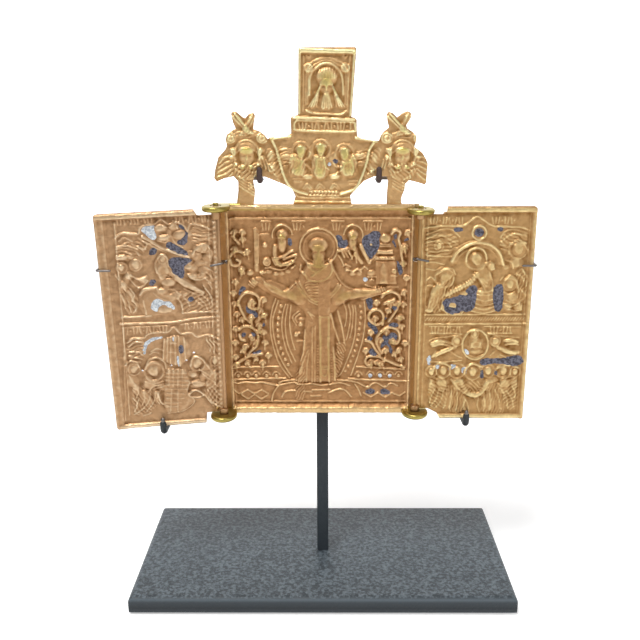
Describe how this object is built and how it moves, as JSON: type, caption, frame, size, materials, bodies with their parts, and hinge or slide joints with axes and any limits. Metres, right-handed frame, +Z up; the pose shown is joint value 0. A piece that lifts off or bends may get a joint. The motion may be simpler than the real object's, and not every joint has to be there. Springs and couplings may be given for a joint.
{
  "type": "folding travel icon",
  "caption": "Cast copper alloy folding icon with a pierced crest and hinged relief wings, shown open on a wire display stand.",
  "frame": {"origin": "middle of the display base's underside", "axes": "+Z up, +X to the viewer's right, the viewer stands at -Y and faces +Y"},
  "size_m": [0.1649, 0.0704, 0.2124],
  "materials": {
    "black_paint": "matt black powder coat with a fine texture",
    "grey_steel": "bare drawn steel wire and bar",
    "black_sleeve": "matt black soft tubing",
    "brown_sleeve": "matt dark brown soft tubing",
    "dark_felt": "dense black felt",
    "copper_alloy": "worn cast copper alloy with remains of enamel in the low ground"
  },
  "bodies": {
    "stand": {"base_plate": "black_paint", "base_felt": "dark_felt", "stem": "black_paint", "stem_screw": "grey_steel", "back_pad_lower": "dark_felt", "back_pad_upper": "dark_felt", "wing_arm": "grey_steel", "prong_left_outer": "grey_steel", "prong_left_inner": "grey_steel", "prong_right_outer": "grey_steel", "prong_right_inner": "grey_steel", "wing_hook_left": "grey_steel", "wing_hook_right": "grey_steel", "wing_hook_sleeve_left": "black_sleeve", "wing_hook_sleeve_right": "black_sleeve", "crest_hook_left": "grey_steel", "crest_hook_right": "grey_steel", "crest_hook_sleeve_left": "brown_sleeve", "crest_hook_sleeve_right": "brown_sleeve", "centre_leaf": "copper_alloy"},
    "left_wing": {"left_wing": "copper_alloy"},
    "right_wing": {"right_wing": "copper_alloy"}
  },
  "joints": [
    {"name": "left_wing_hinge", "type": "hinge", "parent": "stand", "child": "left_wing", "pos_m": [-0.039, -0.01013, 0.115], "axis": [0, 0, 1], "range_deg": [0, 174], "deforming": ["prong_left_outer", "prong_left_inner", "wing_hook_left", "wing_hook_sleeve_left"]},
    {"name": "right_wing_hinge", "type": "hinge", "parent": "stand", "child": "right_wing", "pos_m": [0.0368, -0.00733, 0.115], "axis": [0, 0, -1], "range_deg": [0, 180], "deforming": ["prong_right_outer", "prong_right_inner", "wing_hook_right", "wing_hook_sleeve_right"]}
  ]
}
